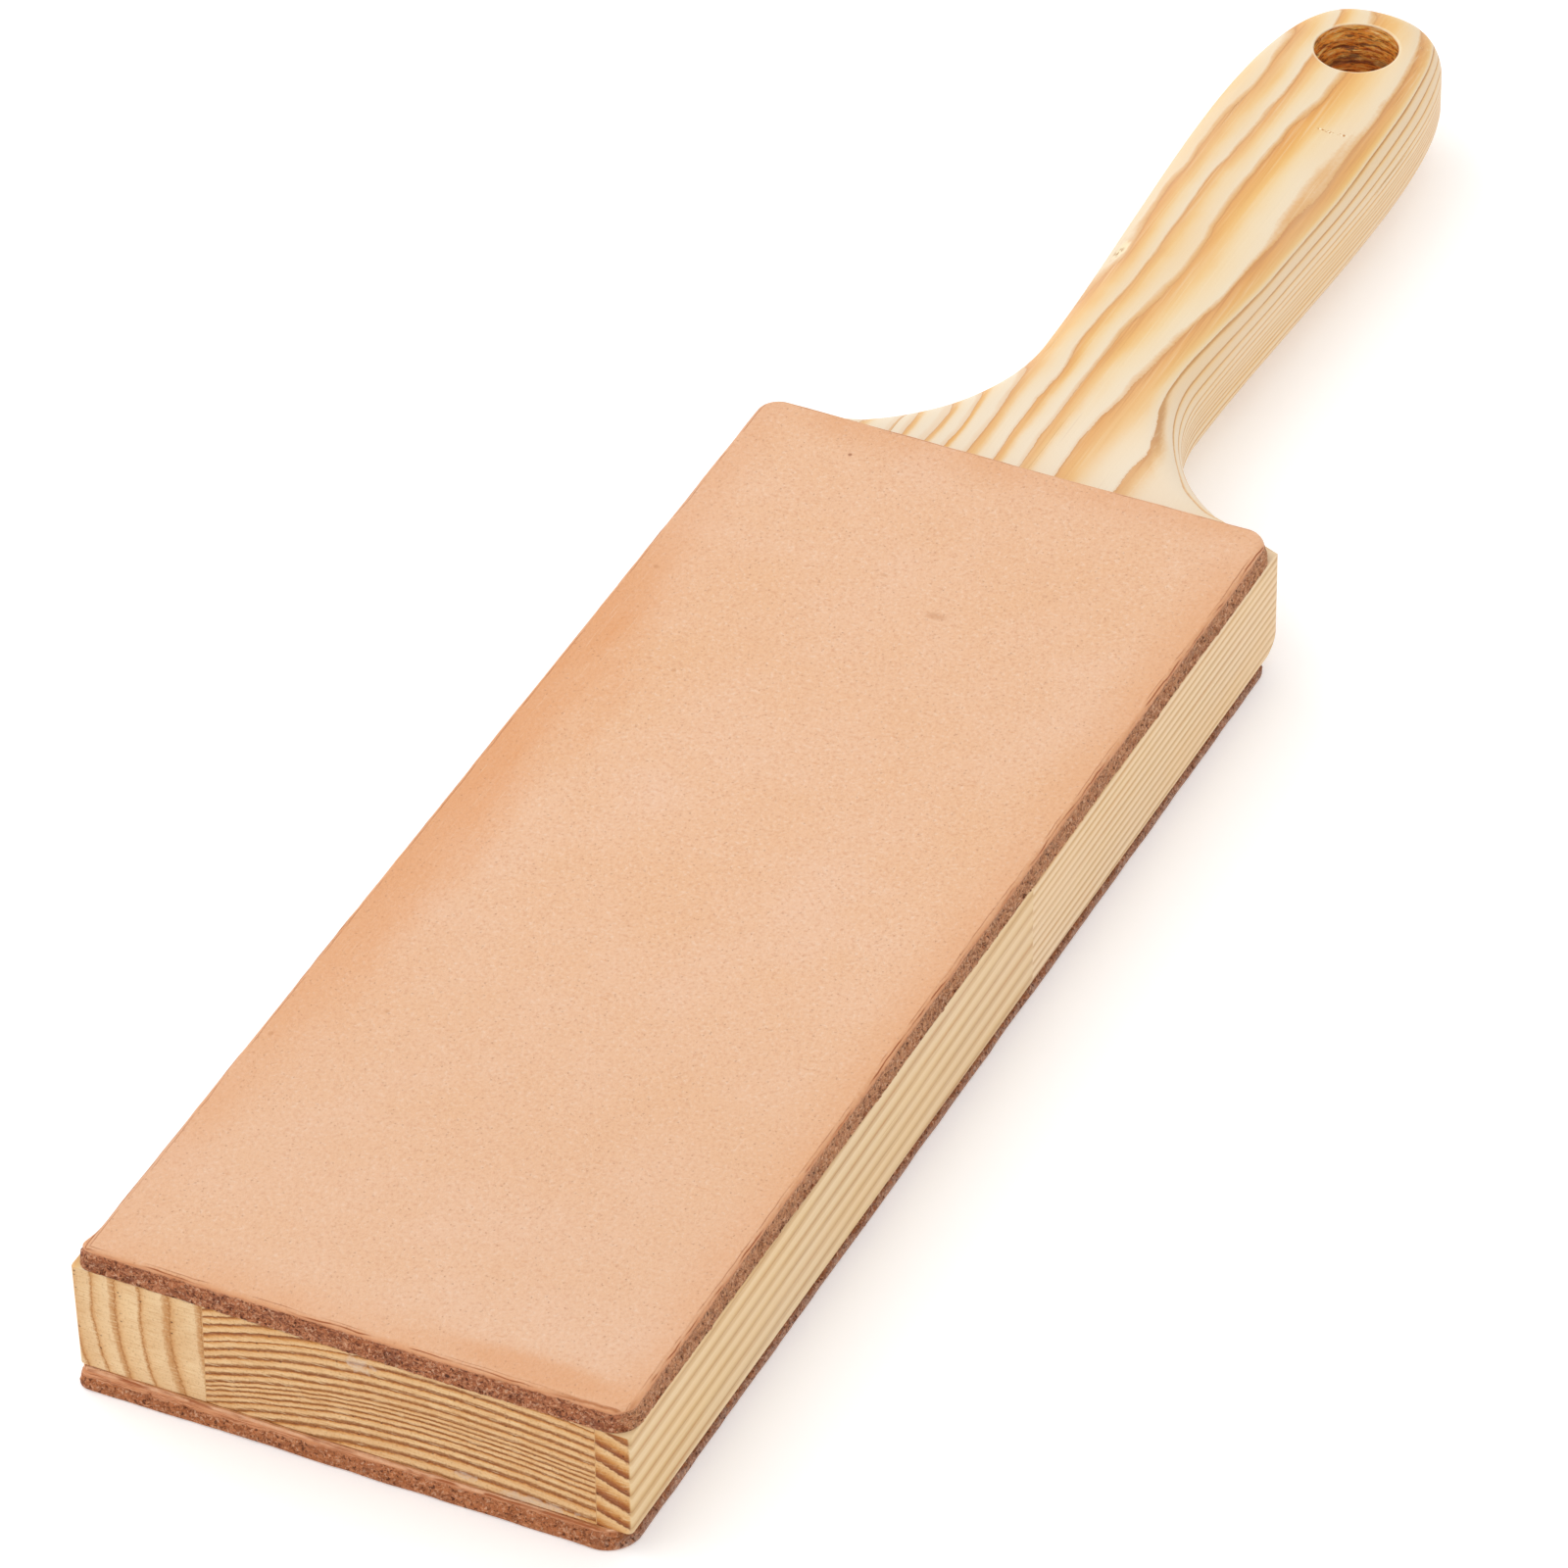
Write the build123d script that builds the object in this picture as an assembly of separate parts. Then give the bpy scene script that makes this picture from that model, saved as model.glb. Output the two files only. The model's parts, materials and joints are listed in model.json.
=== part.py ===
from build123d import *
from math import cos, radians, sin, tan
import os

# Two-sided leather strop: a paddle glued up from three pine staves, one of them in two lengths,
# with a leather pad bonded to each face. Millimetres. X runs across the paddle, +Y points to the
# handle and +Z is up.
# Along Y everything is drawn from the front end of the wood; write_step then moves it so that
# the origin lies under the middle of the whole strop, on the surface that it rests on.

# Paddle
board_width = 76.2
wood_thickness = 15.6
total_wood_length = 323.3
front_corner_ease = 0.6     # plan radius of the board's two front corners
shoulder_corner_ease = 2.0  # plan radius where the sides turn into the shoulders

# Staves: the two glue lines, across the board from its centre line, and the right stave's joint
left_glue_line_x = -20.2
right_glue_line_x = 33.3
glue_line_thickness = 0.1
end_joint_y = 117.8         # where the right stave's two lengths meet end to end

# Handle, cut from the centre stave, with its shoulders running into the outer staves
handle_offset = 0.35        # the handle's own centre line, to the right of the board's
shoulder_angle = 31         # degrees, from straight across the board
cove_radius = 30.0
neck_half_width = 12.05
neck_y = 229.5
belly_half_width = 14.4
belly_y = 292.0
side_pull = 20.8            # lengths of the curve handles along the grip and at its end
end_side_pull = 26.0
end_tip_pull = 9.0

# Rounding of the handle's long edges, and its fade along the shoulders
handle_rounding = 5.6
top_corner_rounding = 1.5   # what is left of it at the board's far corners, on each face
bottom_corner_rounding = 4.2

# Hanging hole
hole_radius = 6.0
hole_x = 0.9
hole_y = 310.0

# Leather pads and the adhesive under them
leather_thickness = 3.2
leather_width = 75.0
leather_corner = 4.0
leather_edge_rounding = 0.5
top_leather_length = 196.2
top_leather_left = -37.1
top_leather_front = 0.1
bottom_leather_length = 197.4
bottom_leather_left = -37.5
bottom_leather_front = -0.8  # it stands proud of the wood at the front end
film_thickness = 0.1
film_inset = 0.5
film_far_y = 190.5           # the film stops where the wood's far edges start to round off

# Levels
wood_bottom = leather_thickness + film_thickness
wood_top = wood_bottom + wood_thickness
up = Vector(0, 0, 1)
middle_y = (total_wood_length + bottom_leather_front) / 2

half_width = board_width / 2
cove_turn = radians(90 - shoulder_angle)
cove_start_half_width = neck_half_width + cove_radius * (1 - cos(cove_turn))
cove_start_y = neck_y - cove_radius * sin(cove_turn)


def cove_start(side):
    """Where a shoulder's straight run meets its cove. side is 1 on the right, -1 on the left."""
    return Vector(handle_offset + side * cove_start_half_width, cove_start_y, 0)


def shoulder_corner(side):
    """Where the board's long side meets the shoulder's straight run."""
    start = cove_start(side)
    run = half_width - side * start.X
    return Vector(side * half_width, start.Y - run * tan(radians(shoulder_angle)), 0)


def handle_side(side):
    """One side of the handle: the cove, the swelling grip and half of the rounded end."""
    def at(half, y):
        return (handle_offset + side * half, y)

    centre_half = neck_half_width + cove_radius
    half_turn = cove_turn / 2
    cove = ThreePointArc(
        cove_start(side),
        at(centre_half - cove_radius * cos(half_turn), neck_y - cove_radius * sin(half_turn)),
        at(neck_half_width, neck_y),
    )
    grip = Bezier(
        at(neck_half_width, neck_y),
        at(neck_half_width, neck_y + side_pull),
        at(belly_half_width, belly_y - side_pull),
        at(belly_half_width, belly_y),
    )
    end = Bezier(
        at(belly_half_width, belly_y),
        at(belly_half_width, belly_y + end_side_pull),
        at(end_tip_pull, total_wood_length),
        at(0, total_wood_length),
    )
    return [cove, grip, end]


def root_point():
    """The point inside the board where lines square to the two shoulders meet."""
    start = cove_start(1)
    run = cove_start_half_width / sin(radians(shoulder_angle))
    return Vector(handle_offset, start.Y - run * cos(radians(shoulder_angle)), 0)


def slab(edges):
    """The closed outline as a solid of the wood's thickness, at its height."""
    outline = Wire([edge for part in edges for edge in part.edges()])
    return Pos(0, 0, wood_bottom) * extrude(Face(outline), wood_thickness)


def handle_blank():
    """The handle and its root, with its long edges rounded on both faces."""
    root = Polyline(cove_start(-1), root_point(), cove_start(1))
    blank = slab(handle_side(1) + handle_side(-1) + [root])
    curved = [edge for edge in blank.edges() if edge.geom_type != GeomType.LINE]
    return fillet(curved, handle_rounding)


def rounding_section(corner, inward, outward, radius):
    """The area between a square corner and the quarter circle that rounds it off."""
    clear = 1.0
    middle = radius * (1 - cos(radians(45)))

    def at(depth, height):
        return corner + inward * depth + outward * height

    curve = ThreePointArc(at(radius, 0), at(middle, -middle), at(0, -radius))
    rest = Polyline(
        at(0, -radius), at(-clear, -radius), at(-clear, clear), at(radius, clear), at(radius, 0)
    )
    return Face(Wire(curve.edges() + rest.edges()))


def fading_cutter(side, face_z, outward, corner_rounding):
    """What the rounding takes off one shoulder edge, from the cove to past the far corner."""
    near = cove_start(side) + up * face_z
    far = shoulder_corner(side) + up * face_z
    run = far - near
    along = run.normalized()
    inward = Vector(-side * sin(radians(shoulder_angle)), -cos(radians(shoulder_angle)), 0)
    beyond = 0.75 * corner_rounding
    fade = (corner_rounding - handle_rounding) / run.length
    sections = [
        rounding_section(near, inward, outward, handle_rounding),
        rounding_section(
            far + along * beyond, inward, outward, corner_rounding + fade * beyond
        ),
    ]
    return loft(sections, ruled=True)


def board_blank():
    """The board up to the shoulders, with eased corners and the fading shoulder rounding."""
    corners = [
        (-half_width, 0), (half_width, 0),
        shoulder_corner(1), cove_start(1), root_point(), cove_start(-1), shoulder_corner(-1),
    ]
    board = slab([Polyline(*corners, close=True)])
    upright = board.edges().filter_by(Axis.Z)
    front = [edge for edge in upright if edge.center().Y < 1]
    board = fillet(front, front_corner_ease)
    upright = board.edges().filter_by(Axis.Z)
    shoulder = [edge for edge in upright if abs(edge.center().X) > half_width - 0.1]
    shoulder = [edge for edge in shoulder if edge.center().Y > half_width]
    board = fillet(shoulder, shoulder_corner_ease)
    for side in (-1, 1):
        board -= fading_cutter(side, wood_top, up, top_corner_rounding)
        board -= fading_cutter(side, wood_bottom, -up, bottom_corner_rounding)
    return board


def paddle():
    """The whole wooden paddle, before it is told apart into its staves."""
    hole = Pos(hole_x, hole_y, (wood_bottom + wood_top) / 2)
    return board_blank() + handle_blank() - hole * Cylinder(hole_radius, 2 * wood_thickness)


def strip_of(body, left, right):
    """The part of a body between two X positions."""
    length = 2 * total_wood_length
    cut = Pos((left + right) / 2, total_wood_length / 2, wood_bottom)
    return body & cut * Box(right - left, length, 4 * wood_thickness)


def rounded_plate(left, front, width, length, corner, bottom, thickness):
    """A flat rectangle with rounded corners, by its left and front edges."""
    place = Pos(left + width / 2, front + length / 2, bottom)
    return place * extrude(RectangleRounded(width, length, corner), thickness)


def leather(left, front, length, bottom, outer_face):
    """A leather pad. Its outer face, the highest (-1) or the lowest (0), has a softened rim."""
    pad = rounded_plate(
        left, front, leather_width, length, leather_corner, bottom, leather_thickness
    )
    rim = pad.faces().filter_by(Axis.Z).sort_by(Axis.Z)[outer_face].edges()
    return fillet(rim, leather_edge_rounding)


def film(left, bottom):
    """The adhesive between a pad and the wood."""
    width = leather_width - 2 * film_inset
    length = film_far_y - film_inset
    return rounded_plate(
        left + film_inset, film_inset, width, length, leather_corner, bottom, film_thickness
    )


def write_step(name, shape):
    centred = Pos(0, -middle_y, 0) * shape
    export_step(centred, f"parts/{name}.step")


os.makedirs("parts", exist_ok=True)
wood = paddle()
half_glue = glue_line_thickness / 2
left_cut = left_glue_line_x - half_glue, left_glue_line_x + half_glue
right_cut = right_glue_line_x - half_glue, right_glue_line_x + half_glue
write_step("left_stave", strip_of(wood, -board_width, left_cut[0]))
write_step("left_glue_line", strip_of(wood, *left_cut))
write_step("centre_stave", strip_of(wood, left_cut[1], right_cut[0]))
write_step("right_glue_line", strip_of(wood, *right_cut))
right_stave = strip_of(wood, right_cut[1], board_width)
end_joint = Plane.XZ.offset(-end_joint_y)  # it faces the front end
write_step("right_stave_front", split(right_stave, end_joint, keep=Keep.TOP))
write_step("right_stave_rear", split(right_stave, end_joint, keep=Keep.BOTTOM))
write_step("top_adhesive_film", film(top_leather_left, wood_top))
write_step("bottom_adhesive_film", film(bottom_leather_left, leather_thickness))
top_level = wood_top + film_thickness
write_step(
    "top_leather",
    leather(top_leather_left, top_leather_front, top_leather_length, top_level, -1),
)
write_step(
    "bottom_leather",
    leather(bottom_leather_left, bottom_leather_front, bottom_leather_length, 0, 0),
)
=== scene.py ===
import functools
import json
import math

import bpy
import numpy as np
from mathutils import Matrix, Vector, geometry, kdtree


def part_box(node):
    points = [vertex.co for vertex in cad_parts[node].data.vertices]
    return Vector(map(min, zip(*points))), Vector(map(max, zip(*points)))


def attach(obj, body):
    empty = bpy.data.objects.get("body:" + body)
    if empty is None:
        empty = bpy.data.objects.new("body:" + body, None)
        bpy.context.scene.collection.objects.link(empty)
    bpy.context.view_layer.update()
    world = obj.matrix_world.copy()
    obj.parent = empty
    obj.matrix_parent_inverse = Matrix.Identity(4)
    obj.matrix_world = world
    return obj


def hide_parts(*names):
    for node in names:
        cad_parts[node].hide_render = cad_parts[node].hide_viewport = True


# Looks of a two-sided leather strop. Shapes are worked out in millimetres, with x across the
# paddle, y from the front end of its wood and z up from the surface that it rests on.

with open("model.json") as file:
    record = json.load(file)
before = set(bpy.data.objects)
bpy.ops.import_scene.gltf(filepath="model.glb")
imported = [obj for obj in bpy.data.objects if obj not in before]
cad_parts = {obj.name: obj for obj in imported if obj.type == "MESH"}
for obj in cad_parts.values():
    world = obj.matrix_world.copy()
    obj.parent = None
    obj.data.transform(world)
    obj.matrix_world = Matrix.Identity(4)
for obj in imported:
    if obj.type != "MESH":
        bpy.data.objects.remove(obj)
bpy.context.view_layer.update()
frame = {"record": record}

MM = 0.001


def box_mm(node):
    """The lowest and highest corners of a CAD node, in millimetres of the row frame."""
    return [np.array(corner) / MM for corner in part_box(node)]


# What the frame gives
centre_low, centre_high = box_mm("centre_stave")
front_y = centre_low[1]
wood_bottom, wood_top = centre_low[2], centre_high[2]
wood_length = centre_high[1] - front_y
board_left = box_mm("left_stave")[0][0]
board_right = box_mm("right_stave_front")[1][0]
end_joint_y = box_mm("right_stave_front")[1][1] - front_y
hole = next(m for m in frame["record"]["mounts"] if m["name"] == "hanging_hole")
hole_centre = np.array(hole["pos_m"][:2]) / MM - (0, front_y)
hole_radius = hole["dims"]["r_mm"]

# The handle's outline, as the CAD has it
handle_x = 0.35
shoulder_angle = math.radians(31)
cove_radius = 30.0
neck_half, neck_y = 12.05, 229.5
belly_half, belly_y = 14.4, 292.0
side_pull, end_side_pull, end_tip_pull = 20.8, 26.0, 9.0
front_corner, shoulder_corner = 0.6, 2.0

# Rounding of the handle's long edges, what is left of it at the far corners, and other edges'
handle_rounding = 5.6
faded_rounding = {"top": 1.5, "bottom": 4.2}
board_ease = 0.2
hole_ease = 0.22

# Traces of use and making
torn_patch = np.array([-9.5, 252.0])  # on the handle's left
tool_mark_y = 289.3
side_lean = 0.32                      # of the board's left side, which leans out at the top
crease_inset = 0.54                   # of the crease round each pad's outer face

# Everything that is drawn is a little brighter than its surface under this light
light_level = 1.1


def tone(red, green, blue):
    """The surface colour that shows as a screen colour, 0 to 255, in the scene's light."""
    linear = []
    for level in (red, green, blue):
        share = level / 255
        value = share / 12.92 if share <= 0.04045 else ((share + 0.055) / 1.055) ** 2.4
        linear.append(value / light_level)
    return (*linear, 1.0)


# ---- Seeded noise, and measuring in the plane ----

class Noise:
    """Smooth noise from -1 to 1 over points in millimetres."""

    def __init__(self, seed):
        draw = np.random.default_rng(seed)
        self.order = draw.permutation(256)
        self.level = draw.uniform(-1, 1, 256)

    def __call__(self, points, size):
        """size is the grain, one number or one for each axis."""
        place = np.asarray(points) / size
        cell = np.floor(place).astype(int)
        inside = place - cell
        inside = inside * inside * (3 - 2 * inside)
        total = np.zeros(len(place))
        for corner in np.ndindex(*[2] * place.shape[1]):
            mixed = np.zeros(len(place), int)
            weight = np.ones(len(place))
            for axis, step in enumerate(corner):
                mixed = self.order[(mixed + cell[:, axis] + step) & 255]
                weight = weight * (inside[:, axis] if step else 1 - inside[:, axis])
            total += weight * self.level[mixed]
        return total


joined = np.concatenate


def lengths(vectors):
    return np.linalg.norm(vectors, axis=1)


def rise(value, low, high):
    """From 0 at low to 1 at high, smoothly."""
    share = np.clip((value - low) / (high - low), 0, 1)
    return share * share * (3 - 2 * share)


def closed_normals(loop):
    """Outward unit normals of a closed loop that runs anticlockwise."""
    along = np.roll(loop, -1, axis=0) - np.roll(loop, 1, axis=0)
    along /= lengths(along)[:, None]
    return np.stack([along[:, 1], -along[:, 0]], axis=1)


def resampled(loop, spacing):
    """A closed loop's points again, evenly spaced along it."""
    points = joined([loop, loop[:1]])
    run = joined([[0], np.cumsum(lengths(np.diff(points, axis=0)))])
    at = np.linspace(0, run[-1], round(run[-1] / spacing) + 1)[:-1]
    return np.stack([np.interp(at, run, points[:, axis]) for axis in (0, 1)], axis=1)


class Path:
    """A polyline that other points are measured from."""

    def __init__(self, points, closed):
        self.points = points
        self.closed = closed
        self.tree = kdtree.KDTree(len(points))
        for index, point in enumerate(points):
            self.tree.insert((*point, 0.0), index)
        self.tree.balance()

    def measure(self, queries):
        """Each query's distance to the path, and its nearest point's index."""
        nearest = np.array([self.tree.find((*q, 0.0))[1] for q in queries])
        best = np.full(len(queries), np.inf)
        last = len(self.points) - 1
        for step in (-1, 1):
            other = nearest + step
            other = other % len(self.points) if self.closed else np.clip(other, 0, last)
            start, run = self.points[nearest], self.points[other] - self.points[nearest]
            square = np.maximum((run * run).sum(1), 1e-12)
            share = np.clip(((queries - start) * run).sum(1) / square, 0, 1)
            best = np.minimum(best, lengths(queries - start - share[:, None] * run))
        return best, nearest


# ---- Outlines ----

def arc(centre, radius, start, end, spacing=0.4):
    count = max(3, math.ceil(abs(end - start) * radius / spacing) + 1)
    angle = np.linspace(start, end, count)
    return centre + radius * np.stack([np.cos(angle), np.sin(angle)], axis=1)


def bezier(a, b, c, d, count=160):
    t = np.linspace(0, 1, count)[:, None]
    return (1 - t) ** 3 * a + 3 * (1 - t) ** 2 * t * b + 3 * (1 - t) * t**2 * c + t**3 * d


def unit(vector):
    return vector / np.linalg.norm(vector)


def rounded_chain(points, radii):
    """A polyline with its inner corners rounded to radii."""
    points = [np.array(point, float) for point in points]
    made = [points[0][None]]
    for before, corner, after, radius in zip(points, points[1:], points[2:], radii):
        back, ahead = unit(before - corner), unit(after - corner)
        half = math.acos(np.clip(back @ ahead, -1, 1)) / 2
        centre = corner + unit(back + ahead) * radius / math.sin(half)
        start = corner + back * radius / math.tan(half) - centre
        end = corner + ahead * radius / math.tan(half) - centre
        first = math.atan2(start[1], start[0])
        turn = (math.atan2(end[1], end[0]) - first + math.pi) % (2 * math.pi) - math.pi
        made.append(arc(centre, radius, first, first + turn, 0.15))
    made.append(points[-1][None])
    return joined(made)


cove_turn = math.pi / 2 - shoulder_angle
cove_centre = np.array([handle_x + neck_half + cove_radius, neck_y])
neck, belly = np.array([neck_half, neck_y]), np.array([belly_half, belly_y])
grip = bezier(neck, neck + (0, side_pull), belly - (0, side_pull), belly)
tip = bezier(belly, belly + (0, end_side_pull), (end_tip_pull, wood_length), (0, wood_length))
right_side = joined([
    arc(cove_centre, cove_radius, math.pi + cove_turn, math.pi),
    grip[1:] + (handle_x, 0),
    tip[1:] + (handle_x, 0),
])
left_side = (right_side * (-1, 1) + (2 * handle_x, 0))[::-1]
handle_side = joined([right_side, left_side[1:]])


def far_corner(start, side_x):
    """Where a shoulder, from its cove's start, meets the board's long side."""
    return np.array([side_x, start[1] - abs(side_x - start[0]) * math.tan(shoulder_angle)])


right_corner = far_corner(handle_side[0], board_right)
left_corner = far_corner(handle_side[-1], board_left)


def paddle_outline():
    """The paddle's outline, anticlockwise, with the slight waver of hand sanding."""
    board = rounded_chain(
        [handle_side[-1], left_corner, (board_left, 0), (board_right, 0), right_corner,
         handle_side[0]],
        [shoulder_corner, front_corner, front_corner, shoulder_corner],
    )
    loop = resampled(joined([board, handle_side[1:-1]]), 0.4)
    on_handle = rise(loop[:, 1], 200, 230)
    waver = 0.05
    shift = Noise(11)(loop, 17.0) * waver * (0.3 + 1.7 * on_handle) - waver
    return loop + closed_normals(loop) * shift[:, None]


def rounding_path(face):
    """The line that the handle's rounding follows, and the radius at each of its points."""
    share = np.linspace(0.03, 1.3, 50)
    fade = handle_rounding + (faded_rounding[face] - handle_rounding) * share
    right = handle_side[0] + (right_corner - handle_side[0]) * share[:, None]
    left = handle_side[-1] + (left_corner - handle_side[-1]) * share[:, None]
    points = joined([right[::-1], handle_side, left])
    radii = joined([fade[::-1], np.full(len(handle_side), handle_rounding), fade])
    return Path(points, closed=False), radii


outline = paddle_outline()
outline_normals = closed_normals(outline)
outline_path = Path(outline, closed=True)
handle_paths = {face: rounding_path(face) for face in faded_rounding}


# ---- Mesh making ----

def rounded_drop(distance, radius):
    """How far a rounded edge falls below its face, at a distance in from the edge."""
    depth = np.clip(radius - distance, 0, radius)
    return radius - np.sqrt(np.maximum(radius**2 - depth**2, 0))


def from_hole(points):
    return lengths(points - hole_centre) - hole_radius


def triangulated(loops, inner):
    """Triangles, anticlockwise, over the loops' points and the inner ones, but for the hole."""
    points = joined([*loops, inner])
    edges = []
    start = 0
    for loop in loops:
        count = len(loop)
        edges += [(start + i, start + (i + 1) % count) for i in range(count)]
        start += count
    found = geometry.delaunay_2d_cdt([Vector(p) for p in points], edges, [], 1, 1e-6)
    source = np.array([ids[0] for ids in found[3]])
    triangles = source[np.array(found[2])]
    a, b, c = (points[triangles[:, k]] for k in range(3))
    area = np.cross(b - a, c - a)
    triangles[area < 0] = triangles[area < 0][:, ::-1]
    keep = (np.abs(area) > 1e-9) & (from_hole((a + b + c) / 3) > -0.001 * hole_radius)
    return points, triangles[keep]


def plate(name, loops, inner, top, bottom, rows, wall=None, bend=None):
    """A closed mesh between two height functions. The outer loop runs anticlockwise and a hole's
    clockwise, with rows of wall quads each. wall moves a row's points, and bend moves all."""
    plan, triangles = triangulated(loops, inner)
    count = len(plan)
    upper, lower = top(plan), bottom(plan)
    levels = [np.column_stack([plan, upper]), np.column_stack([plan, lower])]
    faces = triangles.tolist() + (triangles[:, ::-1] + count).tolist()
    made, start = 2 * count, 0
    for which, (loop, row_count) in enumerate(zip(loops, rows)):
        ids = np.arange(start, start + len(loop))
        normals = closed_normals(loop)
        above = ids
        for row in range(1, row_count + 1):
            if row == row_count:
                below = ids + count
            else:
                share = np.full(len(ids), row / row_count)
                height = upper[ids] * (1 - share) + lower[ids] * share
                ring = np.column_stack([loop, height])
                if wall:
                    ring = wall(ring, normals, share, which)
                levels.append(ring)
                below = np.arange(made, made + len(ids))
                made += len(ids)
            quads = [above, below, np.roll(below, -1), np.roll(above, -1)]
            faces += np.column_stack(quads).tolist()
            above = below
        start += len(loop)
    vertices = joined(levels)
    if bend:
        vertices = bend(vertices)
    used = sorted({corner for face in faces for corner in face})
    new_id = {old: new for new, old in enumerate(used)}
    faces = [[new_id[corner] for corner in face] for face in faces]
    return mesh_object(name, vertices[used], faces)


def placed(name, data):
    made = bpy.data.objects.new(name, data)
    bpy.context.scene.collection.objects.link(made)
    return made


def mesh_object(name, vertices, faces):
    mesh = bpy.data.meshes.new(name)
    mesh.from_pydata(((vertices + (0, front_y, 0)) * MM).tolist(), [], faces)
    mesh.validate()
    mesh.shade_smooth()
    mesh.set_sharp_from_angle(angle=math.radians(50))
    mesh.update()
    return placed(name, mesh)


def grid(low, high, spacing, seed):
    """A staggered, slightly uneven grid of points over a rectangle."""
    xs = np.arange(low[0], high[0], spacing)
    ys = np.arange(low[1], high[1], spacing * 0.87)
    x, y = np.meshgrid(xs, ys)
    x = x + spacing / 2 * (np.arange(len(ys)) % 2)[:, None]
    points = np.column_stack([x.ravel(), y.ravel()])
    return points + np.random.default_rng(seed).uniform(-0.15, 0.15, points.shape) * spacing


# ---- Wooden staves ----

ring_angles = np.radians(np.arange(0, 81, 9))
handle_depths = handle_rounding * (1 - np.sin(ring_angles))
ease_depths = board_ease * np.array([0.06, 0.25, 0.55, 1.0])
waves = Noise(3)
torn = Noise(7)
side_rows, bore_rows = 5, 56


def hole_points():
    """The hole's rim, clockwise, and a few rings round it."""
    angle = np.linspace(0, -2 * math.pi, 240, endpoint=False)
    away = np.stack([np.cos(angle), np.sin(angle)], axis=1)
    return [hole_centre + away * (hole_radius + gap) for gap in (0, 0.04, 0.12, 0.24, 0.55)]


def wood_height(face):
    """The height function of the wood's top or bottom face."""
    path, radii = handle_paths[face]

    def height(plan):
        distance, index = path.measure(plan)
        drop = rounded_drop(distance, radii[index])
        drop = np.maximum(drop, rounded_drop(outline_path.measure(plan)[0], board_ease))
        drop = np.maximum(drop, rounded_drop(from_hole(plan), hole_ease))
        on_handle = rise(plan[:, 1], 192, 205)
        sanding = waves(plan, 16.0) * 0.07 + waves(plan, 5.0) * 0.02 + 0.05
        drop = drop + np.maximum(sanding, 0) * on_handle
        if face == "top":
            return wood_top - (drop + 0.28 * torn_grain(plan))
        return wood_bottom + drop

    return height


def torn_grain(plan):
    """From 0 to 1 over the torn patch."""
    ragged = 1 + 0.35 * waves(plan + 50, 0.9)
    return 1 - rise(lengths((plan - torn_patch) / (0.8, 2.6)) * ragged, 0.3, 1.0)


wood_faces = {face: wood_height(face) for face in faded_rounding}


def clipped(loop, axis, limit, side):
    """The part of a closed loop below (-1) or above (1) a limit along an axis."""
    kept = []
    ahead = np.roll(loop, -1, axis=0)
    for here, there in zip(loop, ahead):
        inside, next_inside = side * (here[axis] - limit) >= 0, side * (there[axis] - limit) >= 0
        if inside:
            kept.append(here)
        if inside != next_inside:
            share = (limit - here[axis]) / (there[axis] - here[axis])
            kept.append(here + (there - here) * share)
    return np.array(kept)


def with_cut_points(loop):
    """The loop with points along its long straight cuts, closest near their ends."""
    made = []
    for here, there in zip(loop, np.roll(loop, -1, axis=0)):
        made.append(here[None])
        length = np.linalg.norm(there - here)
        if length < 2:
            continue
        near = joined([ease_depths, handle_depths[::-1][1:] / math.cos(shoulder_angle)])
        near = np.unique(np.round(near, 3))
        near = near[near < length / 2 - 1]
        middle = np.arange(near[-1] + 1.5, length - near[-1] - 1, 2.5)
        share = np.unique(joined([near, middle, length - near])) / length
        made.append(here + (there - here) * share[:, None])
    return joined(made)


def torn_bore(ring, normals, share, which):
    """Pushes the hole's wall in and out in torn strands, and leaves other walls."""
    if which == 0:
        return ring
    strands = torn(ring, (0.8, 0.8, 0.4)) * 0.15 + torn(ring + 9, (2.4, 2.4, 0.75)) * 0.3
    strands += torn(ring + 31, (4.0, 4.0, 1.6)) * 0.18
    step = rise(share + torn(ring + 63, (3.0, 3.0, 8.0)) * 0.02, 0.43, 0.47)
    fade = np.minimum(np.minimum(share, 1 - share) * 14, 1)
    inward = (0.12 + strands * (1 - 0.4 * step) + 0.75 * step) * fade
    return ring - np.column_stack([normals, 0 * share]) * inward[:, None]


def leaning_side(vertices):
    """Leans the board's left side out at the top, since it was planed out of square."""
    moved = vertices.copy()
    near = rise(-vertices[:, 0], -board_left - 5.0, -board_left)
    middle = (wood_bottom + wood_top) / 2
    upward = (vertices[:, 2] - middle) / (wood_top - middle)
    moved[:, 0] -= near * (side_lean * upward + 0.1)
    return moved


root_y = 190  # from here on the handle's wide rounding needs closer points


def edge_rings():
    """Rings of points inside the outline, where its edge is rounded off."""
    on_handle = outline[:, 1] > root_y
    rings = []
    for depth in (*ease_depths, *handle_depths[handle_depths > board_ease]):
        ring = outline - outline_normals * depth
        if depth > board_ease:
            ring = ring[on_handle][::2 if depth > 2 else 1]
        rings.append(ring[outline_path.measure(ring)[0] > depth * 0.97])
    return joined(rings)


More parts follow.
